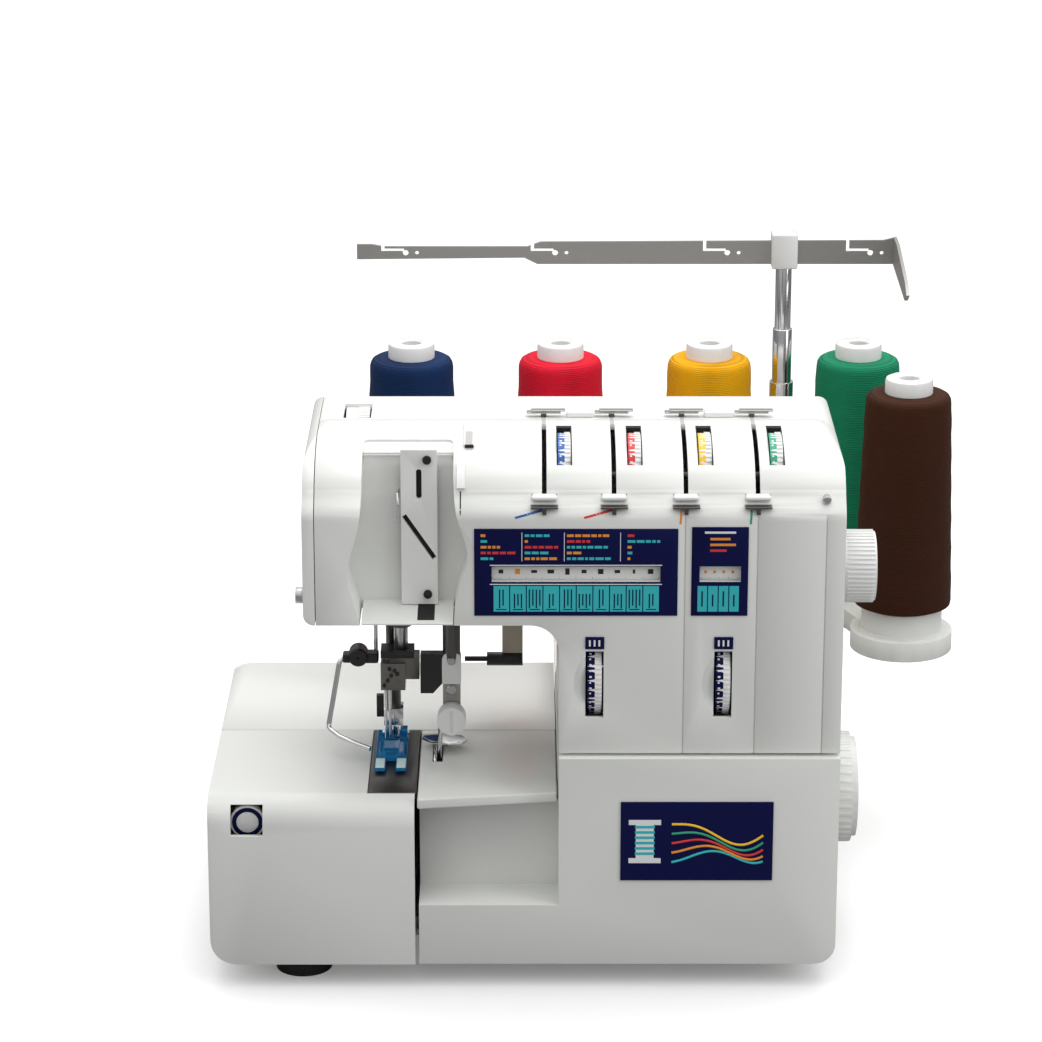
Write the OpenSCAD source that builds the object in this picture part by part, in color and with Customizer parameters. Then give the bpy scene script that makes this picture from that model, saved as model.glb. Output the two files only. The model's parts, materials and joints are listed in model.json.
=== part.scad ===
// Four-cone serger overlock machine with a free-standing thread stand.
// Design frame: X to the right, Y to the back, Z up, Z = 0 on the table, Y = 0 on the front face.
// placed() moves it so that the origin is the bottom centre of the whole machine.

/* [Body] */
// Distance from the design frame's X = 0 to the left side of the bed
bed_left = 175; // [172:1:178]
// Distance from the design frame's X = 0 to the right side of the body
body_right = 177; // [175:1:179]
// Depth of the bed
bed_depth = 224; // [218:1:232]
// Height of the bed's top above the table
bed_top = 113; // [112:0.5:114]
// Height of the rubber feet
foot_h = 14; // [13:0.5:15]
// Thickness of the moulded casings
wall = 3; // [2.5:0.1:3.2]
// Height of the head's flat top
head_top = 312; // [311:0.5:313]
// Height of the head's underside
head_bottom = 215; // [214:0.5:216]
// Depth of the head
head_depth = 150; // [150:0.5:152]

/* [Threads] */
// Spacing of the four rear cones
cone_pitch = 92.5; // [91:0.5:94]
// Bottom radius of a wound cone
cone_r = 30; // [26:0.5:31]
// Height of the wound thread
cone_h = 134; // [120:1:138]

/* [Hidden] */
$fn = 48;

// Running clearance between a shaft and its bore, and gap between neighbouring covers
fit = 0.05;
gap = 0.5;
// Large value for cutters that run past the shape
far = 400;

// Pillar, head and seams
pillar_left = 21;
head_left = -119.5;
casing_bottom = 140;
front_y = 5;
seam_y = 76;
face_seam = -113;
arch_r = 16;

// Bed covers
plate_right = -59.5;
cloth_seam = 110;
plate_corner_r = 15;
looper_left = -57.3;
looper_top = 138;
looper_back = 34;
hinge_pin = [-bed_left + 2.2, cloth_seam - 2.2];

// Shafts of the mechanism: [y, z] along X, or [x, y] along Z
main_axis = [95, 84];
motor_axis = [185, 60];
needle_axis = [-68.5, 80];
presser_axis = [-73.5, 95];
presser_r = 4.2;
knife_axis = [-39.5, 70];
tension_axis = [48, 288];
selector_axis = [28, 242];
ratio_axis = [27, 180.5];
pressure_axis = [93, 298];
foot_axis = [90, 119.5];
knob_axis = [-39.5, 139];
lifter_axis = [132, 221];
switch_axis = [173, 186];
cover_axis = [8, 22];
width_axis = [-153, 97];
upper_hub = [-4, 44];
lower_hub = [-28, 44];

// Dials
tension_x = [23.7, 62.3, 101, 140.1];
slot_x = [12.7, 50.7, 89.9, 129.1];
groove_x = [89.5, 129, 166.5];
tension_r = 24;
tension_w = 7;
ratio_x = 40.5;
length_x = 111.3;

// Thread stand
stand_y = 310;
stand_z0 = 122;
stand_z1 = 134;
disc_z1 = 149;
cone_x = [for (i = [0:3]) -68 + i * cone_pitch];
side_cone = [233, 230];
pin_r = 4;
mast_at = [162, stand_y];
bar_z = 351;
bar_right = 231;

// Middle of the machine, thread stand included
mid_x = (side_cone[0] + 31 - bed_left) / 2;
mid_y = (stand_y + 31) / 2;

// ---------- helpers ----------

module placed() {
    translate([-mid_x, -mid_y, 0])
        children();
}

module box(lo, hi) {
    translate(lo)
        cube(hi - lo);
}

// A 2D shape drawn in (Y, Z), extruded along X
module along_x(x0, x1) {
    translate([x0, 0, 0])
        rotate([90, 0, 90])
            linear_extrude(x1 - x0)
                children();
}

// A 2D shape drawn in (X, Z), extruded along Y
module along_y(y0, y1) {
    translate([0, y1, 0])
        rotate([90, 0, 0])
            linear_extrude(y1 - y0)
                children();
}

module rod_x(x0, x1, at, r) {
    translate([x0, at[0], at[1]])
        rotate([0, 90, 0])
            cylinder(h = x1 - x0, r = r);
}

module rod_y(y0, y1, at, r) {
    translate([at[0], y0, at[1]])
        rotate([-90, 0, 0])
            cylinder(h = y1 - y0, r = r);
}

module rod_z(z0, z1, at, r) {
    translate([at[0], at[1], z0])
        cylinder(h = z1 - z0, r = r);
}

module tube_z(z0, z1, at, r_out, r_in) {
    difference() {
        rod_z(z0, z1, at, r_out);
        rod_z(z0 - 1, z1 + 1, at, r_in);
    }
}

module rect(lo, hi) {
    translate(lo)
        square(hi - lo);
}

module round_rect(lo, hi, r) {
    translate(lo + [r, r])
        offset(r = r, $fn = 32)
            square(hi - lo - [2 * r, 2 * r]);
}

module wire(points, r) {
    for (i = [0:len(points) - 2])
        hull() {
            translate(points[i])
                sphere(r, $fn = 16);
            translate(points[i + 1])
                sphere(r, $fn = 16);
        }
}

// Ring of small ribs round a wheel on the X axis through at
module ribs_x(x0, x1, at, r, rib, count) {
    for (i = [0:count - 1])
        translate([x0, at[0], at[1]])
            rotate([i * 360 / count, 0, 0])
                translate([0, -rib / 2, r - 1])
                    cube([x1 - x0, rib, 1.6]);
}

// ---------- base and frame ----------

module base_tray() {
    color("gainsboro")
        union() {
            box([-155.8, 40, foot_h], [159.8, bed_depth - 4, foot_h + 4]);
            box([-155.8, 6, foot_h], [-66, 40, foot_h + 4]);
        }
}

module feet() {
    color([0.06, 0.06, 0.06])
        for (at = [[-124, 30], [142, 58], [-124, 196], [142, 196]])
            rod_z(0, foot_h, at, 16);
}

module main_frame() {
    plate_z = foot_h + 4;
    color([0.55, 0.57, 0.58])
        difference() {
            union() {
                box([-156, 44, plate_z], [166, 216, plate_z + 6]);
                for (x = [30, 156])
                    box([x, 78, plate_z + 6], [x + 10, 112, 104]);
                box([60, 114, plate_z + 6], [140, 140, 250]);
                box([-95, 114, 226], [60, 140, 250]);
                box([-95, 62, 226], [-30, 114, 246]);
                rod_z(189, 226, needle_axis, 6.3);
                rod_z(206, 226, presser_axis, presser_r + 1.8);
                for (x = [-20, 6])
                    box([x, 126, 216], [x + 4, 138, 226]);
                box([-46, 106, plate_z + 6], [14, 114, 62]);
                box([-92, 46, plate_z + 6], [-88, 108, 104]);
                box([-92, 22, 104], [-84, 108, 109]);
                box([-85.4, 22, 109], [-83.8, 108, 110.4]);
                box([-156, 30, plate_z], [-150, 46, plate_z + 6]);
                box([-156, 30, plate_z + 6], [-150, 34, 102]);
            }
            rod_z(188, 250, needle_axis, 4 + fit);
            rod_z(188, 250, presser_axis, presser_r + fit);
            rod_z(190, 250, knife_axis, 5 + fit);
            rod_x(25, 170, main_axis, 6 + fit);
            rod_x(-25, 12, lifter_axis, 2 + fit);
        }
    color("silver")
        axles();
}

// Fixed axles of the dials, the foot lifter and the loopers
module axles() {
    rod_x(15, body_right - wall, tension_axis, 2);
    rod_x(pillar_left + wall, body_right - wall, ratio_axis, 2);
    rod_x(-101, -80, pressure_axis, 2);
    rod_x(-24, 14, lifter_axis, 2);
    rod_y(95, 106, upper_hub, 4);
    rod_y(85, 106, lower_hub, 4);
}

// ---------- bed covers ----------

module bed_outline(inset) {
    offset(delta = -inset)
        difference() {
            rect([-bed_left, foot_h], [body_right, far]);
            difference() {
                rect([-bed_left - 1, foot_h - 1], [-bed_left + plate_corner_r, foot_h + plate_corner_r]);
                translate([-bed_left + plate_corner_r, foot_h + plate_corner_r])
                    circle(r = plate_corner_r);
            }
            difference() {
                rect([body_right - 12, foot_h - 1], [body_right + 1, foot_h + 12]);
                translate([body_right - 12, foot_h + 12])
                    circle(r = 12);
            }
        }
}

// Pin of the mains rocker and the two lugs that hold it
module switch_pin() {
    rod_z(73, 95, switch_axis, 1.4);
    for (z = [73, 92])
        box([169.5, 183, z], [body_right - wall + 0.5, 189, z + 3]);
}

module lower_casing() {
    color("gainsboro")
        difference() {
            intersection() {
                along_x(20.5, body_right)
                    union() {
                        rect([36, foot_h], [bed_depth, bed_top]);
                        rect([36, foot_h], [head_depth, looper_top]);
                    }
                along_y(0, far)
                    bed_outline(0);
            }
            intersection() {
                along_x(0, body_right - wall)
                    rect([39, 0], [bed_depth - wall, bed_top - wall]);
                along_y(0, far)
                    union() {
                        bed_outline(wall);
                        rect([-bed_left, 0], [160, 30]);
                    }
            }
            box([pillar_left + wall, 39, 100], [body_right - wall, head_depth - wall, looper_top - wall]);
            box([40, 60, 130], [166, 145, looper_top + 1]);
            rod_x(170, body_right + 1, main_axis, 7);
            box([170, 170, 42], [body_right + 1, 202, 66]);
            box([170, 170, 76], [body_right + 1, 202, 92]);
        }
    color("gainsboro")
        switch_pin();
}

// Knuckle and pin of the cloth plate's hinge, on the rear cover
module plate_knuckle(z0, z1, r) {
    union() {
        rod_z(z0, z1, hinge_pin, r);
        box([-bed_left, hinge_pin[1], z0], [hinge_pin[0] + r, cloth_seam + wall, z1]);
        rod_z(z0 - 8, z1 + 8, hinge_pin, 1.2);
    }
}

module rear_bed_cover() {
    color("gainsboro")
        union() {
            difference() {
                intersection() {
                    along_x(-bed_left, 20)
                        rect([cloth_seam + gap, foot_h], [bed_depth, bed_top]);
                    along_y(0, far)
                        bed_outline(0);
                    linear_extrude(far)
                        round_rect([-bed_left, 50], [far, bed_depth], 12);
                }
                intersection() {
                    box([-bed_left, 100, 0], [far, bed_depth - wall, bed_top - wall]);
                    along_y(0, far)
                        union() {
                            bed_outline(wall);
                            rect([-156, 0], [160, 30]);
                        }
                    linear_extrude(far)
                        round_rect([-bed_left + wall, 50], [far, bed_depth - wall], 9);
                }
            }
            plate_knuckle(61, 83, 2.2);
        }
}

// Side view of the cloth plate cover, with its rounded top front edge
module plate_profile(inset) {
    r = 16;
    offset(delta = -inset)
        union() {
            rect([0, 0], [cloth_seam + inset, bed_top - r]);
            rect([r, 0], [cloth_seam + inset, bed_top]);
            intersection() {
                translate([r, bed_top - r])
                    circle(r = r);
                rect([0, 0], [r + 1, bed_top]);
            }
        }
}

module cloth_plate() {
    pin_hole = 1.2 + fit;
    color("whitesmoke")
        difference() {
            union() {
                difference() {
                    intersection() {
                        along_x(-bed_left, plate_right)
                            plate_profile(0);
                        along_y(0, far)
                            bed_outline(0);
                        linear_extrude(far)
                            offset(r = 2.2)
                                rect([-bed_left + 2.2, 2.2], [far, cloth_seam - 2.2]);
                    }
                    intersection() {
                        along_x(-bed_left, far)
                            plate_profile(wall);
                        along_y(0, far)
                            union() {
                                bed_outline(wall);
                                rect([-156, 0], [0, 30]);
                            }
                    }
                    box([-bed_left + wall, 50, 0], [far, far, bed_top - wall]);
                }
                difference() {
                    rod_z(40, 105, hinge_pin, 2.2);
                    box([-far, 0, 0], [hinge_pin[0], far, far]);
                }
            }
            rod_z(52, 92, hinge_pin, pin_hole);
            box([-far, hinge_pin[1] - 2.6, 60.5], [hinge_pin[0] + 3, far, 83.5]);
            box([-86, 13, 100], [0, far, far]);
            box([-162, -1, 92], [-144, 17, 109]);
        }
}

module cutting_width_dial() {
    color("whitesmoke")
        union() {
            rod_y(9, 13, width_axis, 9.8);
            rod_y(13, 29.7, width_axis, 3);
        }
}

module shelf_panel() {
    color("whitesmoke")
        difference() {
            linear_extrude(bed_top)
                polygon([[-57.8, 3], [20, 14], [20, 109.8], [-57.8, 109.8]]);
            translate([0, 0, -1])
                linear_extrude(bed_top - 5)
                    square(far, center = true);
            box([-50.6, 61, 100], [-44.8, 89, far]);
        }
}

// ---------- looper cover ----------

module cover_outline() {
    difference() {
        union() {
            rect([looper_left, foot_h], [pillar_left + 1, 50]);
            rect([pillar_left, foot_h], [body_right, looper_top]);
        }
        difference() {
            rect([body_right - 12, foot_h - 1], [body_right + 1, foot_h + 12]);
            translate([body_right - 12, foot_h + 12])
                circle(r = 12);
        }
    }
}

module looper_cover() {
    color("whitesmoke")
        difference() {
            union() {
                difference() {
                    along_y(1, looper_back)
                        cover_outline();
                    along_y(1 + wall, far)
                        offset(delta = -wall)
                            cover_outline();
                }
                // back wall of the waste chute
                box([looper_left, 31, 48], [pillar_left + 2, looper_back, 101.5]);
                for (x = [looper_left + 4, 155])
                    rod_x(x, x + 8, cover_axis, 4.6);
                box([56, 0.2, 66], [140, 1.5, 112]);
            }
            box([-far, 26, 0], [far, far, 24]);
            box([-far, 25, 128], [far, far, far]);
            rod_x(-far, far, cover_axis, 2 + fit);
        }
}

module cover_hinge_rod() {
    color("silver")
        union() {
            rod_x(looper_left + 5, 162, cover_axis, 2);
            rod_x(20, 60, cover_axis, 3.4);
        }
}

// ---------- head ----------

// Side view of the head: flat front panel, elliptical shoulder, flat top, round rear shoulder
module head_profile(inset) {
    shoulder = [70, 282];
    rear_r = 32;
    offset(delta = -inset)
        union() {
            rect([front_y + 2, 0], [head_depth, 276]);
            rect([head_depth - 20, 0], [head_depth, shoulder[1]]);
            rect([front_y, 0], [head_depth - 2, 275]);
            polygon([
                [front_y, 274], [front_y, 275], [5.3, 277], [6, 279], [7.2, 281], [8.9, 283],
                [10.9, 285.2], [12.9, 287.6], [14.1, 290], [130, 290], [130, 274]
            ]);
            rect([shoulder[0], shoulder[1]], [head_depth - rear_r, head_top]);
            intersection() {
                translate(shoulder)
                    scale([58, head_top - shoulder[1]])
                        circle(r = 1, $fn = 64);
                rect([0, shoulder[1] - 1], [shoulder[0] + 1, far]);
            }
            intersection() {
                translate([head_depth - rear_r, head_top - rear_r])
                    circle(r = rear_r, $fn = 64);
                rect([head_depth - rear_r - 1, head_top - rear_r - 1], [far, far]);
            }
        }
}

// Front view of the head and pillar
module head_outline(inset) {
    corner_r = 13;
    offset(delta = -inset)
        difference() {
            union() {
                hull() {
                    translate([head_left + corner_r, head_top - corner_r])
                        circle(r = corner_r);
                    translate([body_right - corner_r, head_top - corner_r])
                        circle(r = corner_r);
                    rect([head_left, head_bottom + 20], [body_right, head_bottom + 21]);
                    translate([head_left + 6, head_bottom + 6])
                        circle(r = 6);
                    rect([pillar_left, head_bottom], [body_right, head_bottom + 1]);
                }
                rect([pillar_left, casing_bottom], [body_right, head_bottom + 2]);
                rect([pillar_left - arch_r, head_bottom - arch_r], [pillar_left + 1, head_bottom + 1]);
            }
            translate([pillar_left - arch_r, head_bottom - arch_r])
                circle(r = arch_r);
        }
}

module head_solid(inset) {
    intersection() {
        along_x(head_left + inset, body_right - inset)
            head_profile(inset);
        along_y(front_y + inset, head_depth - inset)
            head_outline(inset);
    }
}

module head_shell() {
    difference() {
        head_solid(0);
        head_solid(wall);
        // openings in the underside: needle and knife bars, lifter, frame column
        box([-85, 38, 200], [-30, 110, head_bottom + wall + 1]);
        box([-24, 118, 200], [12, 146, head_bottom + wall + 1]);
        box([40, 60, casing_bottom - 1], [166, 145, casing_bottom + wall + 1]);
    }
}

function bell(t) = exp(-t * t);
function recess_left(z) = -87 - 8 * bell((z - 244) / 22);
function recess_right(z) = -37 + 8 * bell((z - 254) / 20);

// Front view of the needle bar recess, whose sides swell outwards in soft waves
module recess_outline() {
    steps = 20;
    low = head_bottom - 2;
    rise = (head_top - low) / steps;
    polygon(concat(
        [for (i = [0:steps]) [recess_left(low + i * rise), low + i * rise]],
        [for (i = [steps:-1:0]) [recess_right(low + i * rise), low + i * rise]]
    ));
}

module front_casing() {
    color("whitesmoke")
        difference() {
            intersection() {
                union() {
                    difference() {
                        head_shell();
                        along_y(0, 34)
                            recess_outline();
                    }
                    intersection() {
                        head_solid(0);
                        box([-98, 5, 215], [-26, 36.5, far]);
                    }
                }
                box([face_seam + gap, 0, 0], [far, seam_y, far]);
            }
            along_y(0, 34)
                recess_outline();
            for (i = [0:3]) {
                box([tension_x[i] - 4.2, 25, 290], [tension_x[i] + 4.2, 64, far]);
                box([slot_x[i] - 1.3, 11, 284], [slot_x[i] + 1.3, 66, far]);
            }
            for (x = [ratio_x, length_x])
                box([x - 5, 0, 161], [x + 5, 9, 200]);
            chart_windows();
            for (x = slot_x)
                slot_guide(x);
            for (x = groove_x)
                box([x - 0.4, 0, casing_bottom - 1], [x + 0.4, front_y + 0.9, 283.5]);
            for (x = [ratio_x, length_x])
                intersection() {
                    rod_y(front_y - 1, front_y + 1.8, [x + 11.4, ratio_axis[1]], 22.9);
                    box([x - 12, 0, 150], [x - 4.9, 9, 210]);
                }
            rod_x(170, body_right + 1, selector_axis, 4.6);
            // way through to the needle bar below the take-up plate, and the opening above it
            box([-59.5, 33, 217], [-48.5, 38, 226]);
            translate([0, 0, 301])
                linear_extrude(far)
                    round_rect([-86.6, 20], [-37.4, 46], 3);
        }
}

module rear_casing() {
    color("gainsboro")
        difference() {
            intersection() {
                head_shell();
                box([face_seam + gap, seam_y + gap, 0], [far, far, far]);
            }
            box([-99.5, 79, 290], [-84, 107, far]);
        }
}

module face_cover() {
    color("whitesmoke")
        difference() {
            intersection() {
                head_shell();
                box([-far, 0, 0], [face_seam, far, far]);
            }
            rod_x(head_left - 1, head_left + wall + 1, [24, 226], 1.6);
        }
}

module case_screws() {
    color("silver")
        union() {
            rod_x(head_left - 5, head_left, [24, 226], 4.5);
            rod_x(head_left, head_left + 9, [24, 226], 1.5);
            for (z = [226, 303.5])
                rod_y(25.2, 26.8, [-51.5, z], 2.4);
        }
}

module takeup_cover() {
    color("whitesmoke")
        difference() {
            union() {
                box([-66, 26.8, 220], [-46, 29.5, 309]);
                for (z = [228, 296])
                    rod_y(29.5, 34, [-51.5, z], 3);
            }
            along_y(0, 32)
                round_rect([-57.5, 281], [-54.5, 298], 1.4);
            translate([-56, 0, 259])
                rotate([0, -34, 0])
                    box([-1.4, 0, -15], [1.4, 32, 15]);
        }
}

// Windows over the selector's two drums
module chart_windows() {
    box([-16, 0, 240.5], [76, 9, 249.5]);
    box([97.5, 0, 240.5], [120, 9, 249.5]);
}

module label_plates() {
    color("midnightblue")
        difference() {
            union() {
                box([-25.6, 4.2, 221], [85.6, front_y, 271]);
                box([93, 4.2, 221], [124, front_y, 272]);
                for (x = [ratio_x, length_x])
                    box([x - 5.2, 4.2, 201.5], [x + 5.2, front_y, 208.5]);
            }
            chart_windows();
        }
}

// ---------- dials ----------

module selector_knob() {
    color("whitesmoke")
        difference() {
            union() {
                rod_x(body_right + gap, body_right + 18, selector_axis, 19.2);
                ribs_x(body_right + 2, body_right + 17, selector_axis, 19.6, 1, 48);
                rod_x(-22, body_right + gap, selector_axis, 4);
                rod_x(-18, 78, selector_axis, 19.2);
                rod_x(96, 122, selector_axis, 19.2);
            }
            rod_x(body_right + 16.5, body_right + 19, selector_axis, 14);
        }
}

// Thumbwheel on the X axis: a smooth scale band on the left, a ribbed rim on the right
module thumbwheel(x, w, at, r, bore_r) {
    difference() {
        union() {
            rod_x(x - w / 2, x + w / 2, at, r - 0.6);
            ribs_x(x + 0.2, x + w / 2 - 0.3, at, r - 0.6, 1, 54);
        }
        rod_x(x - w, x + w, at, bore_r);
    }
}

module tension_dial(i) {
    thumbwheel(tension_x[i], tension_w, tension_axis, tension_r, 2 + fit);
}

module tension_dial_1() {
    color("royalblue")
        tension_dial(0);
}

module tension_dial_2() {
    color("crimson")
        tension_dial(1);
}

module tension_dial_3() {
    color("orange")
        tension_dial(2);
}

module tension_dial_4() {
    color("seagreen")
        tension_dial(3);
}

module feed_ratio_dial() {
    color("whitesmoke")
        thumbwheel(ratio_x, 8, ratio_axis, 24, 2 + fit);
}

module stitch_length_dial() {
    color("whitesmoke")
        thumbwheel(length_x, 8, ratio_axis, 24, 2 + fit);
}

module pressure_dial() {
    color("whitesmoke")
        thumbwheel(-91.5, 13, pressure_axis, 16, 2 + fit);
}

// Tab and bar set into a slot's lower end, spring bars on a post at its upper end
module slot_guide(x) {
    ledge = 283;
    box([x - 7, 8, ledge + 2.4], [x + 7, 15, ledge + 5.2]);
    box([x - 7.4, 3.8, ledge - 0.6], [x + 7.4, 10, ledge + 0.4]);
    box([x - 1.1, 3.8, 279], [x + 1.1, 9, ledge]);
    box([x - 1.6, 80.4, head_top], [x + 1.6, 84, 316]);
    box([x - 9.5, 80, 314], [x + 9.5, 84.4, 315]);
    box([x - 7, 79.4, 315.4], [x + 12, 83.8, 316.2]);
}

module thread_guides() {
    color("silver")
        union() {
            for (x = slot_x)
                slot_guide(x);
            box([25.5, 79, head_top], [40.5, 88, 315.2]);
            box([102.5, 79, head_top], [119, 88, 315.2]);
            wire([[-67.6, 33.2, 284], [-67.8, 27, 282], [-67.4, 25, 265]], 0.7);
        }
}

// ---------- sewing mechanism ----------

module needle_plate() {
    color("dimgray")
        difference() {
            box([-85.5, 13.5, bed_top - 2.5], [-58.6, 109.7, bed_top]);
            box([-79, 76, 100], [-71, 84, far]);
            box([-83.3, 52, 100], [-79.7, 103, far]);
            box([-70.3, 52, 100], [-65.7, 103, far]);
        }
}

module feed_dogs() {
    color("silver")
        union() {
            for (x = [-82.7, -69.7]) {
                width = x < -75 ? 2.4 : 3.4;
                box([x, 56, 99], [x + width, 100, bed_top - 1]);
                box([x, 100, 99], [x + width, 130, bed_top - 5]);
                for (y = [56:3:97])
                    translate([x, y, bed_top - 1])
                        rotate([90, 0, 90])
                            linear_extrude(width)
                                polygon([[0, 0], [2.4, 0], [2.4, 1.2]]);
            }
            box([-82.7, 112, 92], [-66.3, 130, 99]);
        }
}

module needle_bar() {
    color("silver")
        rod_z(175, 290, needle_axis, 4);
}

module needle_clamp() {
    color([0.42, 0.41, 0.38])
        union() {
            box([-80, 72, 152], [-66, 87.5, 168]);
            box([-66, 74, 158], [-58, 87.5, 171]);
            box([-75, 74, 168], [-66, 87.5, 171]);
            box([-80, 73, 171], [-61, 87.5, 175]);
            for (p = [[-78, 155], [-76, 158], [-74, 161], [-72, 164], [-70.5, 162], [-75, 165]])
                rod_y(71.2, 72, p, 1);
        }
}

module needles() {
    color("silver")
        for (x = [-77.6, -75.2])
            union() {
                rod_z(138, 152, [x, 80], 1);
                rod_z(117, 138, [x, 80], 0.6);
                translate([x, 80, 114.5])
                    cylinder(h = 2.5, r1 = 0.15, r2 = 0.6, $fn = 24);
            }
}

module presser_bar() {
    color("silver")
        rod_z(134, 290, presser_axis, presser_r);
}

module foot_holder() {
    color("silver")
        union() {
            box([-79, 89, 124], [-68, 101, 134]);
            box([-73.7, 87, 118], [-70.3, 94, 124]);
            rod_x(-80, -64.5, foot_axis, 1.2);
            box([-83.5, 95, 127], [-79, 99, 129]);
            box([-83.5, 95, 129], [-79.4, 99, 140]);
        }
}

module presser_foot() {
    color([0.1, 0.5, 0.75])
        difference() {
            union() {
                box([-83, 58, 114.2], [-65, 91.5, 117.2]);
                box([-83, 42, 114.2], [-77, 58, 116.2]);
                box([-71, 42, 114.2], [-65, 58, 116.2]);
                box([-78.6, 86.5, 117.2], [-74.3, 92.8, 122.6]);
                box([-69.7, 86.5, 117.2], [-65.5, 92.8, 122.6]);
                box([-83, 91.5, 115.8], [-65, 100, 117.2]);
                box([-80.8, 58.5, 117.2], [-67.2, 74.4, 119.6]);
                box([-78.4, 60.5, 119.6], [-69.6, 72.4, 121.2]);
            }
            box([-79.2, 75, 100], [-71, 85, far]);
            rod_x(-90, -60, foot_axis, 1.2 + fit);
        }
}

module foot_lifter() {
    color("tan")
        difference() {
            union() {
                rod_x(-12, 2, lifter_axis, 4.4);
                box([-11, 130.5, 153.2], [1, 133.5, 220]);
            }
            rod_x(-25, 12, lifter_axis, 2 + fit);
        }
}

module lifter_grip() {
    color([0.05, 0.05, 0.05])
        union() {
            rod_x(-20, 1, [132, 149.2], 4);
            rod_x(-33, -20, [132, 149.2], 1.5);
        }
}

module finger_guard() {
    guard_path = [
        [-99, 82, 168], [-103.6, 80, 166], [-110.4, 74, 129], [-107, 69, 127],
        [-97, 62, 124.4], [-85.6, 56, 122.3]
    ];
    color("silver")
        wire(guard_path, 1.4);
    color([0.05, 0.05, 0.05])
        union() {
            box([-102, 77, 166], [-81.2, 87, 172]);
            rod_y(76, 88, [-93, 170], 5.5);
            rod_z(171, head_bottom, [-83, 84], 1.2);
        }
}

module knife_arm() {
    color("whitesmoke")
        difference() {
            union() {
                box([-44.9, 66, 158], [-34.1, 76, 172]);
                rod_y(66, 76, [-39.5, 172], 5.4);
                box([-44.5, 66.6, 129], [-34.5, 76, 158]);
                along_y(67, 75.5)
                    polygon([
                        [-57.2, 175], [-43, 175], [-43, 160], [-50, 152], [-57.2, 152]
                    ]);
                rod_z(172, 280, knife_axis, 5);
            }
            rod_y(60, 80, knob_axis, 2.6 + fit);
        }
}

module knife_knob() {
    color("white")
        union() {
            difference() {
                rod_y(55.5, 66, knob_axis, 8.2);
                box([knob_axis[0] - 0.8, 55, knob_axis[1] - 6], [knob_axis[0] + 0.8, 56.5, knob_axis[1] + 6]);
            }
            rod_y(66, 75.5, knob_axis, 2.6);
        }
}

// Cutting blade on the arm, with the bright guard plate that lies over the fabric edge
module upper_knife() {
    color("silver")
        union() {
            box([-47.4, 69, 111.5], [-45.5, 88, 127]);
            box([-45.5, 69, 127], [-44.5, 76, 136]);
            box([-47.4, 69, 127], [-45.5, 76, 136]);
            translate([0, 0, 116.8])
                linear_extrude(1.6)
                    polygon([
                        [-57, 85], [-52, 79], [-42, 74], [-34, 76], [-31, 81], [-34, 88],
                        [-46, 91], [-57, 89]
                    ]);
        }
}

module lower_knife() {
    color("silver")
        union() {
            box([-50, 62, 86], [-48.2, 86, bed_top - 0.4]);
            box([-56, 62, 25], [-50, 86, 92]);
        }
}

// Looper: hub on its pin, curved lever and a hooked blade pointing left
module looper(hub, y, top) {
    difference() {
        union() {
            rod_y(y, y + 8, hub, 7);
            box([hub[0] - 4, y + 2, hub[1]], [hub[0] + 4, y + 5, top - 2]);
            box([hub[0] - 30, y + 2, top - 5], [hub[0] + 4, y + 5, top]);
        }
        rod_y(y - 1, y + 9, hub, 4 + fit);
    }
}

module upper_looper() {
    color("silver")
        looper(upper_hub, 96, 92);
}

module lower_looper() {
    color("silver")
        looper(lower_hub, 86, 84);
}

module main_shaft() {
    color("silver")
        union() {
            rod_x(22.5, body_right + 0.2, main_axis, 6);
            for (x = [48, 66])
                rod_x(x, x + 9, main_axis, 14);
            rod_x(143, 152, main_axis, 26);
        }
}

module handwheel() {
    color("whitesmoke")
        difference() {
            union() {
                rod_x(body_right + 0.6, body_right + 14, main_axis, 32);
                rod_x(body_right + 14, body_right + 17, main_axis, 29);
                ribs_x(body_right + 2, body_right + 13, main_axis, 31.6, 2.4, 40);
            }
            rod_x(body_right + 11, body_right + 18, main_axis, 22);
            rod_x(body_right, body_right + 0.8, main_axis, 6.2);
        }
}

module motor() {
    color([0.25, 0.25, 0.27])
        difference() {
            union() {
                rod_x(62, 136, motor_axis, 28);
                rod_x(136, 141, motor_axis, 10);
                box([70, 165, 24], [128, 205, 34]);
            }
            rod_x(120, 150, motor_axis, 3 + fit);
        }
}

module motor_pulley() {
    color("silver")
        union() {
            rod_x(122, 153, motor_axis, 3);
            rod_x(142, 153, motor_axis, 8);
        }
}

module belt_loop(grow) {
    hull() {
        translate(main_axis)
            circle(r = 26 + grow);
        translate(motor_axis)
            circle(r = 8 + grow);
    }
}

module drive_belt() {
    color([0.05, 0.05, 0.05])
        along_x(144, 151)
            difference() {
                belt_loop(2.2);
                belt_loop(0.4);
            }
}

// ---------- thread stand ----------

module spool_stand() {
    pads = concat([for (x = cone_x) [x, stand_y]], [side_cone]);
    color("whitesmoke")
        union() {
            difference() {
                union() {
                    linear_extrude(stand_z1)
                        union() {
                            rect([cone_x[0], stand_y - 22], [cone_x[3], stand_y + 22]);
                            rect([20, head_depth + 0.3], [50, stand_y]);
                            rect([140, head_depth + 0.3], [168, stand_y]);
                            polygon([[190, 290], [220, 215], [246, 225], [236, 300]]);
                            for (p = pads)
                                translate(p)
                                    circle(r = 31);
                        }
                }
                box([-far, -far, -1], [far, far, stand_z0]);
            }
            for (p = pads) {
                rod_z(stand_z1, stand_z1 + 1.5, p, 26);
                rod_z(stand_z1 + 1.5, disc_z1, p, 24.5);
                rod_z(disc_z1, 262, p, pin_r);
            }
        }
}

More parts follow.
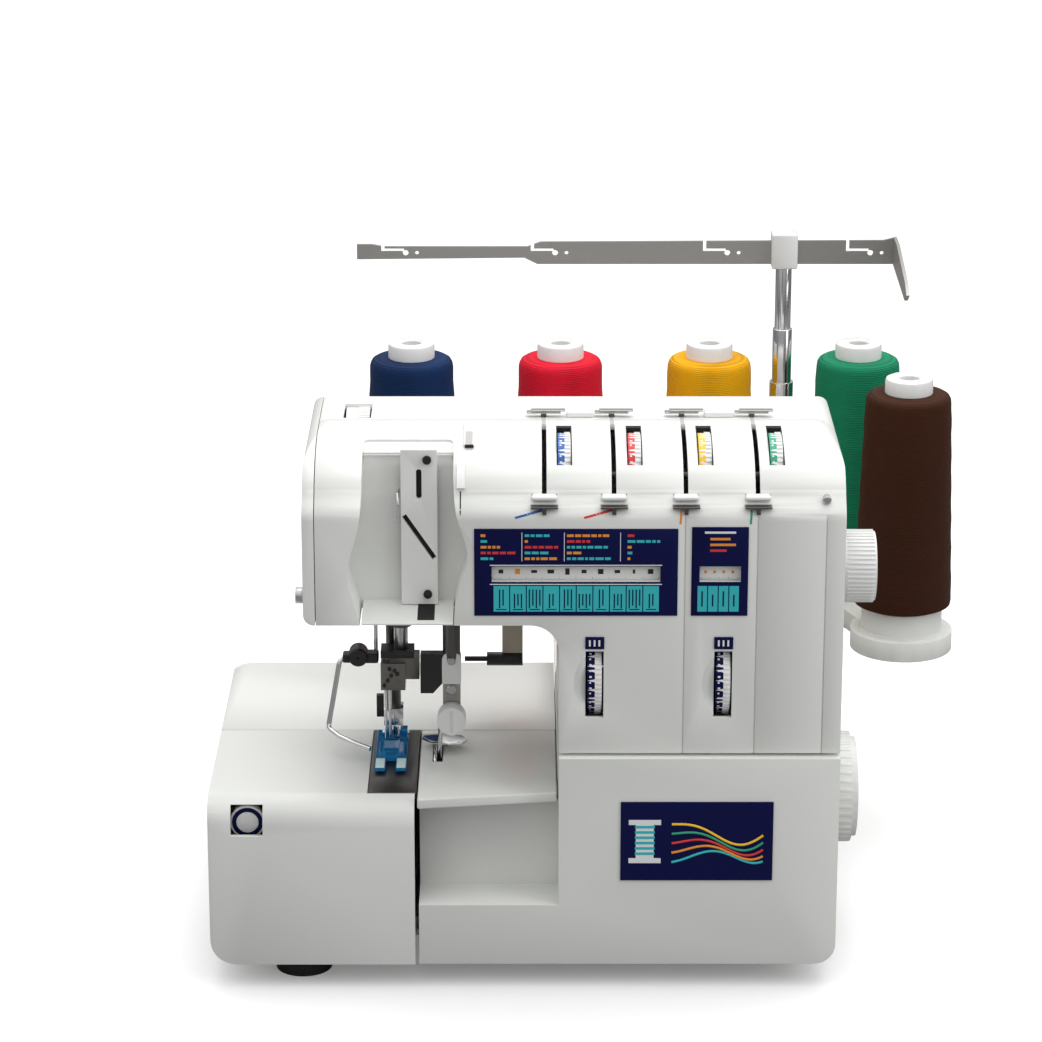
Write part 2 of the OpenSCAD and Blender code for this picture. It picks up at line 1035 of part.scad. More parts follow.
// Wound cone: tapered core with its cap, and the thread on it, free to turn on the pin
module thread_cone(at) {
    z0 = disc_z1 + 0.5;
    translate([at[0], at[1], z0])
        union() {
            rotate_extrude()
                polygon([
                    [pin_r + 4, 0], [17, 0], [13.2, cone_h + 9], [11, cone_h + 10],
                    [6, cone_h + 10], [6, cone_h - 6], [pin_r + 4, cone_h - 9]
                ]);
            rotate_extrude()
                polygon([
                    [17.1, 1], [cone_r - 1, 1], [cone_r, 3], [cone_r - 4, cone_h - 2],
                    [cone_r - 6, cone_h], [13.6, cone_h]
                ]);
        }
}

module thread_cone_1() {
    color("midnightblue")
        thread_cone([cone_x[0], stand_y]);
}

module thread_cone_2() {
    color("crimson")
        thread_cone([cone_x[1], stand_y]);
}

module thread_cone_3() {
    color("orange")
        thread_cone([cone_x[2], stand_y]);
}

module thread_cone_4() {
    color("seagreen")
        thread_cone([cone_x[3], stand_y]);
}

module thread_cone_5() {
    color("saddlebrown")
        thread_cone(side_cone);
}

module mast_base() {
    color("silver")
        union() {
            tube_z(stand_z1, 268, mast_at, 7.4, 6 + fit);
            rod_z(stand_z1, stand_z1 + 3, mast_at, 7.4);
        }
}

module mast_tube() {
    color("silver")
        tube_z(170, 302, mast_at, 6, 5 + fit);
}

module mast_rod() {
    color("silver")
        rod_z(200, bar_z - 10, mast_at, 5);
}

module guide_clamp() {
    color("white")
        difference() {
            box([mast_at[0] - 8, stand_y - 7, bar_z - 10], [mast_at[0] + 8, stand_y + 7, bar_z + 12]);
            box([-far, stand_y - 1, bar_z - 8], [far, stand_y + 1, bar_z + 8]);
        }
}

// Front view of the guide bar: stepped strip with a hooked thread slot near each cone
module bar_outline() {
    z = bar_z;
    difference() {
        polygon([
            [-101, z - 5], [2, z - 4], [10, z - 8], [bar_right, z - 8], [bar_right, z + 9],
            [bar_right - 8, z + 7], [12, z + 6], [4, z + 3], [-84, z + 3], [-92, z + 4.4],
            [-101, z + 4.4]
        ]);
        for (x = [-78, 14, 120, 208]) {
            rect([x - 8, z], [x + 6, z + 1.8]);
            rect([x - 8, z], [x - 6, z + 12]);
            translate([x + 7, z - 1])
                circle(r = 1.8);
            translate([x + 14, z - 1])
                circle(r = 1.2);
        }
    }
}

module guide_bar() {
    color([0.62, 0.61, 0.59])
        union() {
            along_y(stand_y - 1, stand_y + 1)
                bar_outline();
            along_x(bar_right - 2, bar_right)
                polygon([
                    [stand_y, bar_z - 8], [stand_y - 75, bar_z - 12], [stand_y - 86, bar_z - 6],
                    [stand_y - 75, bar_z - 1], [stand_y - 20, bar_z + 9], [stand_y, bar_z + 9]
                ]);
        }
}

module power_switch() {
    color([0.08, 0.08, 0.08])
        translate(switch_axis)
            rotate([0, 0, -6])
                difference() {
                    box([-4, -14.3, 77], [5.2, 14.3, 91]);
                    translate([14.2, 0, 76])
                        cylinder(h = 16, r = 9.6);
                    translate([0, 0, 76])
                        cylinder(h = 16, r = 1.4 + fit);
                }
}

module power_inlet() {
    color([0.08, 0.08, 0.08])
        difference() {
            box([body_right - 20, 171, 43], [body_right + 0.5, 201, 65]);
            box([body_right - 16, 175, 47], [body_right + 1, 197, 61]);
        }
    color("silver")
        for (y = [181, 191])
            rod_x(body_right - 16, body_right - 4, [y, 54], 1.2);
}

placed() base_tray();
placed() feet();
placed() main_frame();
placed() lower_casing();
placed() rear_bed_cover();
placed() cloth_plate();
placed() front_casing();
placed() rear_casing();
placed() face_cover();
placed() case_screws();
placed() takeup_cover();
placed() label_plates();
placed() selector_knob();
placed() tension_dial_1();
placed() tension_dial_2();
placed() tension_dial_3();
placed() tension_dial_4();
placed() thread_guides();
placed() feed_ratio_dial();
placed() stitch_length_dial();
placed() pressure_dial();
placed() cutting_width_dial();
placed() needle_plate();
placed() feed_dogs();
placed() needle_bar();
placed() needle_clamp();
placed() needles();
placed() presser_bar();
placed() foot_holder();
placed() presser_foot();
placed() foot_lifter();
placed() lifter_grip();
placed() finger_guard();
placed() knife_arm();
placed() knife_knob();
placed() upper_knife();
placed() lower_knife();
placed() upper_looper();
placed() lower_looper();
placed() main_shaft();
placed() handwheel();
placed() motor();
placed() motor_pulley();
placed() drive_belt();
placed() looper_cover();
placed() cover_hinge_rod();
placed() shelf_panel();
placed() spool_stand();
placed() thread_cone_1();
placed() thread_cone_2();
placed() thread_cone_3();
placed() thread_cone_4();
placed() thread_cone_5();
placed() mast_base();
placed() mast_tube();
placed() mast_rod();
placed() guide_clamp();
placed() guide_bar();
placed() power_inlet();
placed() power_switch();
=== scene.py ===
"""Looks of the serger overlock machine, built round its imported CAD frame."""
import json
import math
import random

import bmesh
import bpy
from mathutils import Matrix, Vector


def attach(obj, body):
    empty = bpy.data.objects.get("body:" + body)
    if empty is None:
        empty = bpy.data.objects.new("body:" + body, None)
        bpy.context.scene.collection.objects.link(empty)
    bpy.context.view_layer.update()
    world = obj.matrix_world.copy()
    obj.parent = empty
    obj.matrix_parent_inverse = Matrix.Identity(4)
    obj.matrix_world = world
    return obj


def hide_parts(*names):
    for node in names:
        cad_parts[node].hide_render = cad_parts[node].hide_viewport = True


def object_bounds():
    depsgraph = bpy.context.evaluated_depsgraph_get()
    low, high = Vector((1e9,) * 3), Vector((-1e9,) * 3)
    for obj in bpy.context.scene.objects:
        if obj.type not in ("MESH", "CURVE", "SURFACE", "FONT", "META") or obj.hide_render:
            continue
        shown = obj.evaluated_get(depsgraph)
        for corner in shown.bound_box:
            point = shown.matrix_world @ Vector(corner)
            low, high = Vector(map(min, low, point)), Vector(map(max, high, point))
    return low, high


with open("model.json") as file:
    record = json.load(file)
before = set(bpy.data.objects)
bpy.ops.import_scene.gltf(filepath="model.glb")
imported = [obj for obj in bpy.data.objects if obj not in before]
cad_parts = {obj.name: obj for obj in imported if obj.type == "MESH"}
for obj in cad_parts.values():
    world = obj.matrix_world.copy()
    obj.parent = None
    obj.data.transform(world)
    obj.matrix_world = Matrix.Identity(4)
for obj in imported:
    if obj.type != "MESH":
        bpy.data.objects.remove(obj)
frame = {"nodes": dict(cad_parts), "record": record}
CAD_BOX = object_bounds()

MM = 0.001
BED_LEFT = 175.0      # the bed's left side is at X = -175 in design millimetres
NODES = frame["nodes"]
BODY_OF = {n: b for b, ns in frame["record"]["behaviour"]["bodies"].items() for n in ns}
SLOT_OF = {s["node"]: s["material_slot"] for s in frame["record"]["subparts"]}

# places shared by several pieces, in design millimetres
TENSION_X = (23.7, 62.3, 101.0, 140.1)
SLOT_X = (12.7, 50.7, 89.9, 129.1)
PILLAR_DIAL_X = (40.5, 111.3)
SHOULDER_CENTRE = (70, 282)       # Y and Z of the elliptical shoulder's middle
SHOULDER_RADII = (58, 30)
JOIN = 0.00002                    # points of a CAD mesh nearer than this, in metres, are welded
SHARP = math.radians(28)
BOX_SIDES = [(0, 1, 3, 2), (4, 6, 7, 5), (0, 4, 5, 1), (2, 3, 7, 6), (0, 2, 6, 4), (1, 5, 7, 3)]


def at(x, y, z):
    """Design millimetres (X from the needle side, Y from the front, Z from the table) to the row frame."""
    return Vector((CAD_BOX[0].x + (x + BED_LEFT) * MM, CAD_BOX[0].y + y * MM, z * MM))


# ---------- materials ----------

def material(name, colour, rough, metallic=0.0, grain=900.0, tint=0.04, bump=0.02, rough_var=0.08,
             coat=0.0, transmission=0.0, sheen=0.0, stretch=(1, 1, 1), specular=0.5):
    """A surface whose colour, roughness and height vary with two scales of noise."""
    m = bpy.data.materials.new(name)
    m.use_nodes = True
    nt = m.node_tree
    bsdf = nt.nodes["Principled BSDF"]
    place = nt.nodes.new("ShaderNodeTexCoord")
    mapping = nt.nodes.new("ShaderNodeMapping")
    mapping.inputs["Scale"].default_value = stretch
    nt.links.new(place.outputs["Object"], mapping.inputs["Vector"])
    fine = nt.nodes.new("ShaderNodeTexNoise")
    fine.inputs["Scale"].default_value = grain
    fine.inputs["Detail"].default_value = 3.0
    broad = nt.nodes.new("ShaderNodeTexNoise")
    broad.inputs["Scale"].default_value = 9.0
    broad.inputs["Detail"].default_value = 4.0
    for n in (fine, broad):
        nt.links.new(mapping.outputs["Vector"], n.inputs["Vector"])
    ramp = nt.nodes.new("ShaderNodeValToRGB")
    ramp.color_ramp.elements[0].position = 0.3
    ramp.color_ramp.elements[1].position = 0.7
    dark = [c * (1 - tint) for c in colour[:3]] + [1]
    light = [min(1, c * (1 + tint)) for c in colour[:3]] + [1]
    ramp.color_ramp.elements[0].color = dark
    ramp.color_ramp.elements[1].color = light
    blend = nt.nodes.new("ShaderNodeMath")
    blend.operation = "MULTIPLY_ADD"
    blend.inputs[1].default_value = 0.6
    scaled = nt.nodes.new("ShaderNodeMath")
    scaled.operation = "MULTIPLY"
    scaled.inputs[1].default_value = 0.4
    nt.links.new(fine.outputs["Fac"], scaled.inputs[0])
    nt.links.new(broad.outputs["Fac"], blend.inputs[0])
    nt.links.new(scaled.outputs[0], blend.inputs[2])
    nt.links.new(blend.outputs[0], ramp.inputs["Fac"])
    nt.links.new(ramp.outputs["Color"], bsdf.inputs["Base Color"])
    spread = nt.nodes.new("ShaderNodeMapRange")
    spread.inputs["To Min"].default_value = max(0.02, rough - rough_var)
    spread.inputs["To Max"].default_value = min(1.0, rough + rough_var)
    nt.links.new(broad.outputs["Fac"], spread.inputs["Value"])
    nt.links.new(spread.outputs["Result"], bsdf.inputs["Roughness"])
    relief = nt.nodes.new("ShaderNodeBump")
    relief.inputs["Strength"].default_value = bump * 5
    relief.inputs["Distance"].default_value = 0.0002
    nt.links.new(fine.outputs["Fac"], relief.inputs["Height"])
    nt.links.new(relief.outputs["Normal"], bsdf.inputs["Normal"])
    bsdf.inputs["Metallic"].default_value = metallic
    bsdf.inputs["Coat Weight"].default_value = coat
    bsdf.inputs["Transmission Weight"].default_value = transmission
    bsdf.inputs["Sheen Weight"].default_value = sheen
    bsdf.inputs["Specular IOR Level"].default_value = specular
    return m


SHELL = material("shell_plastic", (0.80, 0.81, 0.78), 0.38, tint=0.015, bump=0.03)
SHELL_BACK = material("shell_plastic_back", (0.77, 0.78, 0.75), 0.42, tint=0.02, bump=0.04)
WHITE = material("white_plastic", (0.86, 0.86, 0.85), 0.3, tint=0.015, bump=0.02)
NAVY = material("navy_print", (0.004, 0.006, 0.060), 0.42, tint=0.08, bump=0.01, specular=0.1)
TEAL = material("teal_print", (0.03, 0.50, 0.55), 0.4, tint=0.05, bump=0.01)
ORANGE = material("orange_print", (0.85, 0.30, 0.03), 0.4, tint=0.05, bump=0.01)
RED = material("red_print", (0.70, 0.03, 0.03), 0.4, tint=0.05, bump=0.01)
GREEN = material("green_print", (0.02, 0.36, 0.20), 0.4, tint=0.05, bump=0.01)
BLUE = material("blue_print", (0.02, 0.11, 0.42), 0.4, tint=0.05, bump=0.01)
YELLOW = material("yellow_print", (0.93, 0.55, 0.02), 0.4, tint=0.05, bump=0.01)
PAPER = material("white_print", (0.83, 0.84, 0.85), 0.45, tint=0.02, bump=0.01)
GROOVE = material("groove_shadow", (0.36, 0.36, 0.35), 0.7, tint=0.05, bump=0.02)
BLACK = material("black_plastic", (0.012, 0.012, 0.013), 0.38, tint=0.2, bump=0.05)
# Near-black painted shade: thin dark sheets and strips put in openings, slits and gaps where only shade
# falls.
HOLLOW_SHADE = material("painted_hollow_shade", (0.006, 0.006, 0.007), 0.75, tint=0.2, bump=0.03)
RUBBER = material("rubber", (0.018, 0.018, 0.018), 0.72, tint=0.15, bump=0.12, grain=500)
CHROME = material("chrome", (0.72, 0.72, 0.73), 0.12, metallic=1, tint=0.02, bump=0.004, rough_var=0.05)
STEEL = material("ground_steel", (0.52, 0.52, 0.52), 0.3, metallic=1, tint=0.06, bump=0.03,
                 stretch=(0.06, 1, 1), rough_var=0.1)
BAR_STEEL = material("guide_bar_steel", (0.40, 0.39, 0.375), 0.42, metallic=0.85, tint=0.04, bump=0.03,
                     stretch=(0.03, 1, 1), rough_var=0.08)
DARK_STEEL = material("dark_steel", (0.13, 0.125, 0.12), 0.34, metallic=1, tint=0.1, bump=0.04,
                      stretch=(1, 0.06, 1), rough_var=0.1)
CLAMP_STEEL = material("clamp_steel", (0.20, 0.195, 0.175), 0.42, metallic=0.7, tint=0.1, bump=0.04)
CAST = material("cast_alloy", (0.42, 0.43, 0.44), 0.55, metallic=0.9, tint=0.1, bump=0.2, grain=350)
# Grey painted shade for shallow grooves and insets, drawn as thin flat strips on the surface.
GROOVE_SHADE = material("shallow_groove_painted_shade", (0.50, 0.48, 0.48), 0.5, tint=0.04, bump=0.02)
LINK = material("link_grey", (0.42, 0.40, 0.37), 0.36, metallic=0.4, tint=0.05, bump=0.03)
TAN = material("tan_paint", (0.50, 0.43, 0.36), 0.4, tint=0.05, bump=0.03)
MOTOR = material("motor_paint", (0.06, 0.06, 0.07), 0.45, metallic=0.3, tint=0.15, bump=0.06)
FOOT_BLUE = material("clear_blue", (0.01, 0.33, 0.72), 0.12, tint=0.06, bump=0.01, transmission=0.65,
                     coat=0.3)
FOOT_TOE = material("pale_toe", (0.62, 0.80, 0.80), 0.3, tint=0.04, bump=0.02)
THREADS = {
    1: (0.004, 0.026, 0.10), 2: (0.72, 0.008, 0.03), 3: (0.90, 0.42, 0.004),
    4: (0.008, 0.25, 0.12), 5: (0.046, 0.013, 0.004),
}


def wave_lines(nt, place, pitch, angle, turns_per_m):
    """Fine helical lines: the sine of height plus turns, for one direction of winding."""
    sep = nt.nodes.new("ShaderNodeSeparateXYZ")
    nt.links.new(place, sep.inputs[0])
    arc = nt.nodes.new("ShaderNodeMath")
    arc.operation = "ARCTAN2"
    nt.links.new(sep.outputs["Y"], arc.inputs[0])
    nt.links.new(sep.outputs["X"], arc.inputs[1])
    turned = nt.nodes.new("ShaderNodeMath")
    turned.operation = "MULTIPLY"
    turned.inputs[1].default_value = turns_per_m
    nt.links.new(arc.outputs[0], turned.inputs[0])
    lifted = nt.nodes.new("ShaderNodeMath")
    lifted.operation = "MULTIPLY_ADD"
    lifted.inputs[1].default_value = angle * 2 * math.pi / pitch
    nt.links.new(sep.outputs["Z"], lifted.inputs[0])
    nt.links.new(turned.outputs[0], lifted.inputs[2])
    wave = nt.nodes.new("ShaderNodeMath")
    wave.operation = "SINE"
    nt.links.new(lifted.outputs[0], wave.inputs[0])
    return wave.outputs[0]


def thread_material(number, colour):
    """Cross-wound thread: crossing helical lines in height, with painted shade darkening the grooves between
    them and a faint painted highlight on their ridges, and a low specular gloss without sheen.
    """
    m = material("thread_%d" % number, colour, 0.6, tint=0.18, grain=1500, bump=0.1, sheen=0.0, specular=0.12)
    nt = m.node_tree
    place = nt.nodes.new("ShaderNodeTexCoord").outputs["Object"]
    turns = 14
    up = wave_lines(nt, place, 0.0011, 1, turns)
    down = wave_lines(nt, place, 0.0011, -1, turns)
    both = nt.nodes.new("ShaderNodeMath")
    both.operation = "MAXIMUM"
    nt.links.new(up, both.inputs[0])
    nt.links.new(down, both.inputs[1])
    relief = nt.nodes.new("ShaderNodeBump")
    relief.inputs["Strength"].default_value = 0.55
    relief.inputs["Distance"].default_value = 0.0003
    nt.links.new(both.outputs[0], relief.inputs["Height"])
    bsdf = nt.nodes["Principled BSDF"]
    nt.links.new(relief.outputs["Normal"], bsdf.inputs["Normal"])
    # Painted shade and highlight: the colour falls to 0.62 in the grooves of the winding and rises to 1.08 on
    # its ridges.
    shade = nt.nodes.new("ShaderNodeMapRange")
    shade.inputs["From Min"].default_value = -1
    shade.inputs["To Min"].default_value = 0.62
    shade.inputs["To Max"].default_value = 1.08
    nt.links.new(both.outputs[0], shade.inputs["Value"])
    old = bsdf.inputs["Base Color"].links[0].from_socket
    mix = nt.nodes.new("ShaderNodeMix")
    mix.data_type = "RGBA"
    mix.blend_type = "MULTIPLY"
    mix.inputs["Factor"].default_value = 1.0
    nt.links.new(old, mix.inputs["A"])
    nt.links.new(shade.outputs["Result"], mix.inputs["B"])
    nt.links.new(mix.outputs["Result"], bsdf.inputs["Base Color"])
    return m


# ---------- piece helpers ----------

def finish_piece(obj, mat, body, replaces=(), bevel=0.0, smooth=30.0):
    """Gives a new piece its material, edges, body and the CAD nodes that it stands for."""
    obj.data.materials.append(mat)
    if obj.type == "MESH":
        if smooth:
            obj.data.shade_smooth()
            obj.data.set_sharp_from_angle(angle=math.radians(smooth))
        if bevel:
            soften(obj, bevel)
    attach(obj, body)
    if replaces:
        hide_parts(*replaces)
    return obj


def soften(obj, width, segments=2):
    """Rounds an object's sharp edges by width millimetres."""
    rounding = obj.modifiers.new("rounding", "BEVEL")
    rounding.width = width * MM
    rounding.segments = segments
    rounding.limit_method = "ANGLE"
    rounding.angle_limit = math.radians(35)
    rounding.harden_normals = True


def mesh_piece(name, verts, faces, mat, body, replaces=(), bevel=0.0, smooth=30.0):
    """A piece from points in the row frame and their faces, with its normals made to agree."""
    mesh = bpy.data.meshes.new(name)
    mesh.from_pydata([tuple(v) for v in verts], [], faces)
    bm = bmesh.new()
    bm.from_mesh(mesh)
    bmesh.ops.recalc_face_normals(bm, faces=bm.faces)
    bm.to_mesh(mesh)
    bm.free()
    obj = bpy.data.objects.new(name, mesh)
    bpy.context.scene.collection.objects.link(obj)
    return finish_piece(obj, mat, body, replaces, bevel, smooth)


def box_faces(base=0):
    """The six sides of a box whose eight corners start at index base."""
    return [tuple(base + i for i in side) for side in BOX_SIDES]


def strip_faces(steps):
    """The faces of a closed strip with four corners at each of its steps + 1 sections."""
    faces = []
    for i in range(steps):
        k = i * 4
        faces += [(k, k + 4, k + 6, k + 2), (k + 1, k + 3, k + 7, k + 5), (k, k + 1, k + 5, k + 4),
                  (k + 2, k + 6, k + 7, k + 3)]
    end = steps * 4
    return faces + [(0, 2, 3, 1), (end, end + 1, end + 3, end + 2)]


def boxes_piece(name, boxes, mat, body, replaces=(), bevel=0.0):
    """Separate closed boxes in one piece; each is (low corner, high corner) in design millimetres."""
    verts, faces = [], []
    for lo, hi in boxes:
        base = len(verts)
        for x in (lo[0], hi[0]):
            for y in (lo[1], hi[1]):
                for z in (lo[2], hi[2]):
                    verts.append(at(x, y, z))
        faces += box_faces(base)
    return mesh_piece(name, verts, faces, mat, body, replaces, bevel)


def lathe_piece(name, profile, centre, axis, mat, body, replaces=(), segments=64, bevel=0.0,
                smooth=30.0):
    """A closed (radius, distance) profile turned about an axis through centre, in millimetres."""
    turn = {"X": lambda r, d, a: (d, r * math.cos(a), r * math.sin(a)),
            "Y": lambda r, d, a: (r * math.cos(a), d, r * math.sin(a)),
            "Z": lambda r, d, a: (r * math.cos(a), r * math.sin(a), d)}[axis]
    verts, faces = [], []
    count = len(profile)
    for s in range(segments):
        angle = 2 * math.pi * s / segments
        for r, d in profile:
            dx, dy, dz = turn(r, d, angle)
            verts.append(at(centre[0] + dx, centre[1] + dy, centre[2] + dz))
    for s in range(segments):
        t = (s + 1) % segments
        for k in range(count):
            n = (k + 1) % count
            faces.append((s * count + k, t * count + k, t * count + n, s * count + n))
    return mesh_piece(name, verts, faces, mat, body, replaces, bevel, smooth)


def wire_piece(name, points, radius, mat, body, replaces=(), closed=False, straight=False):
    """A round wire through points in design millimetres."""
    curve = bpy.data.curves.new(name, "CURVE")
    curve.dimensions = "3D"
    curve.bevel_depth = radius * MM
    curve.bevel_resolution = 4
    curve.resolution_u = 8
    curve.use_fill_caps = True
    spline = curve.splines.new("BEZIER")
    spline.bezier_points.add(len(points) - 1)
    for b, p in zip(spline.bezier_points, points):
        b.co = at(*p)
        b.handle_left_type = b.handle_right_type = "VECTOR" if straight else "AUTO"
    spline.use_cyclic_u = closed
    obj = bpy.data.objects.new(name, curve)
    bpy.context.scene.collection.objects.link(obj)
    return finish_piece(obj, mat, body, replaces)


# ---------- carried CAD nodes ----------

def carry():
    """Materials and rounded edges for the CAD nodes that stay in view."""
    looks = {
        "base_tray": (SHELL_BACK, 0.6), "feet": (RUBBER, 1.2), "main_frame": (CAST, 0),
        "lower_casing": (SHELL_BACK, 1.6), "rear_bed_cover": (SHELL, 1.6), "cloth_plate": (SHELL, 1.6),
        "front_casing": (SHELL, 0.8), "rear_casing": (SHELL_BACK, 0.8), "face_cover": (SHELL, 0.4),
        "case_screws": (STEEL, 0.3), "takeup_cover": (WHITE, 0.5), "label_plates": (NAVY, 0.2),
        "selector_knob": (WHITE, 0.3), "feed_ratio_dial": (WHITE, 0.2),
        "stitch_length_dial": (WHITE, 0.2), "pressure_dial": (WHITE, 0.2),
        "cutting_width_dial": (WHITE, 0.5), "needle_plate": (DARK_STEEL, 0.3), "feed_dogs": (STEEL, 0),
        "needle_bar": (STEEL, 0.4), "needle_clamp": (CLAMP_STEEL, 0.5), "needles": (CHROME, 0),
        "presser_bar": (DARK_STEEL, 0.4), "foot_holder": (CHROME, 0.4), "foot_lifter": (TAN, 0.4),
        "lifter_grip": (BLACK, 0.6), "knife_arm": (WHITE, 1.2), "knife_knob": (WHITE, 0.8),
        "upper_knife": (CHROME, 0.15), "lower_knife": (CHROME, 0.15), "upper_looper": (STEEL, 0.5),
        "lower_looper": (STEEL, 0.5), "main_shaft": (STEEL, 0.4), "handwheel": (SHELL, 1.0),
        "motor": (MOTOR, 0.8), "motor_pulley": (STEEL, 0.3), "drive_belt": (RUBBER, 0),
        "looper_cover": (SHELL, 1.6), "cover_hinge_rod": (STEEL, 0.2), "shelf_panel": (SHELL, 1.0),
        "spool_stand": (SHELL, 1.0), "mast_base": (CHROME, 0.5), "mast_tube": (CHROME, 0.4),
        "mast_rod": (CHROME, 0.3), "guide_clamp": (WHITE, 1.2), "guide_bar": (BAR_STEEL, 0),
        "power_inlet": (BLACK, 0.4), "power_switch": (BLACK, 0.8),
    }
    for name, (mat, width) in looks.items():
        obj = NODES[name]
        obj.data.materials.clear()
        obj.data.materials.append(mat)
        obj.modifiers.new("weld", "WELD").merge_threshold = JOIN
        if width:
            soften(obj, width)
        else:
            crisp(obj)
        obj.data.shade_smooth()
        obj.data.set_sharp_from_angle(angle=SHARP)


def crisp(obj):
    """Keeps welded edges sharp where no rounding does."""
    split = obj.modifiers.new("crisp", "EDGE_SPLIT")
    split.split_angle = SHARP


# ---------- dials ----------

def second_tone(name, mat, low, high):
    """Gives the faces of a carried node inside a box, in design millimetres, a second material."""
    obj = NODES[name]
    obj.data.materials.append(mat)
    lo, hi = at(*low), at(*high)
    for face in obj.data.polygons:
        middle = Vector((0, 0, 0))
        for v in face.vertices:
            middle += obj.data.vertices[v].co / len(face.vertices)
        if all(lo[k] <= middle[k] <= hi[k] for k in range(3)):
            face.material_index = len(obj.data.materials) - 1


def tones():
    """Second colours on nodes that are made of differently finished pieces."""
    second_tone("knife_arm", BLACK, (-58, 60, 150), (-44.95, 80, 176))
    second_tone("knife_arm", LINK, (-45, 60, 128), (-34, 80, 157.9))
    second_tone("knife_arm", DARK_STEEL, (-46, 60, 178), (-33, 84, 290))
    second_tone("needle_clamp", BLACK, (-81, 72.5, 171.1), (-60, 88, 176))
    second_tone("main_frame", DARK_STEEL, (-82, 70, 186), (-60, 104, 225))
    second_tone("foot_holder", BLACK, (-84, 94, 126), (-79.05, 100, 141))
    second_tone("case_screws", BLACK, (-60, 20, 220), (-40, 30, 310))


def split_wheel(name, x, scale_mat):
    """Gives a thumbwheel its two colours: the smooth scale band left of x, the ribbed rim right of it."""
    obj = NODES[name]
    obj.data.materials.clear()
    obj.data.materials.append(WHITE)
    obj.data.materials.append(scale_mat)
    edge = at(x, 0, 0).x
    for face in obj.data.polygons:
        centre = sum((obj.data.vertices[v].co.x for v in face.vertices)) / len(face.vertices)
        face.material_index = 1 if centre < edge - 0.0001 else 0
    obj.modifiers.new("weld", "WELD").merge_threshold = JOIN
    crisp(obj)
    obj.data.shade_smooth()


def dial_marks(name, x, centre, radius, start, step, count, mat, width=1.4):
    """Short scale marks round a thumbwheel, every second one longer."""
    verts, faces = [], []
    for i in range(count):
        angle = math.radians(start + i * step)
        long = width if i % 2 else width * 0.7
        base = len(verts)
        for dx in (0.0, long):
            for da in (-0.022, 0.022):
                for r in (radius - 0.2, radius + 0.06):
                    verts.append(at(x + dx, centre[0] - r * math.cos(angle + da),
                                    centre[1] + r * math.sin(angle + da)))
        faces += box_faces(base)
    node = name.rsplit("-", 1)[0]
    return mesh_piece(name, verts, faces, mat, BODY_OF[node])


def dials():
    """Scale bands and marks of the thumbwheels, and the ring on the cutting width dial."""
    for i, (mat, x) in enumerate(zip((BLUE, RED, YELLOW, GREEN), TENSION_X)):
        name = "tension_dial_%d" % (i + 1)
        split_wheel(name, x, mat)
        dial_marks(name + "-marks", x - 2.5, (48, 288), 23.4, -10, 9, 22, PAPER)
    for name, x in zip(("feed_ratio_dial", "stitch_length_dial"), PILLAR_DIAL_X):
        split_wheel(name, x, NAVY)
        dial_marks(name + "-marks", x - 2.9, (27, 180.5), 23.4, -60, 8, 16, PAPER)
    split_wheel("pressure_dial", -97.5, PAPER)
    ring = [(6.2, -0.1), (8.6, -0.1), (8.6, 0.15), (6.2, 0.15)]
    lathe_piece("cutting_width_dial-ring", [(r, 8.9 - d) for r, d in ring], (-153, 0, 97), "Y", NAVY,
                BODY_OF["cutting_width_dial"])


def face_y(z):
    """How far back the front face lies at height z, in design millimetres, over the shoulder's S curve."""
    points = [(275, 5), (277, 5.3), (279, 6), (281, 7.2), (283, 8.9), (285.2, 10.9), (287.6, 12.9),
              (290, 14.1)]
    if z <= points[0][0]:
        return points[0][1]
    for (z0, y0), (z1, y1) in zip(points, points[1:]):
        if z <= z1:
            return y0 + (y1 - y0) * (z - z0) / (z1 - z0)
    return points[-1][1]


# ---------- printed plates ----------

def tiles(name, rects, mat, y=4.2, body="body", lift=0.12):
    """Thin printed areas on a front face: each rect is (x0, z0, x1, z1)."""
    boxes = [((x0, y - lift, z0), (x1, y + 0.1, z1)) for x0, z0, x1, z1 in rects]
    return boxes_piece(name, boxes, mat, body)


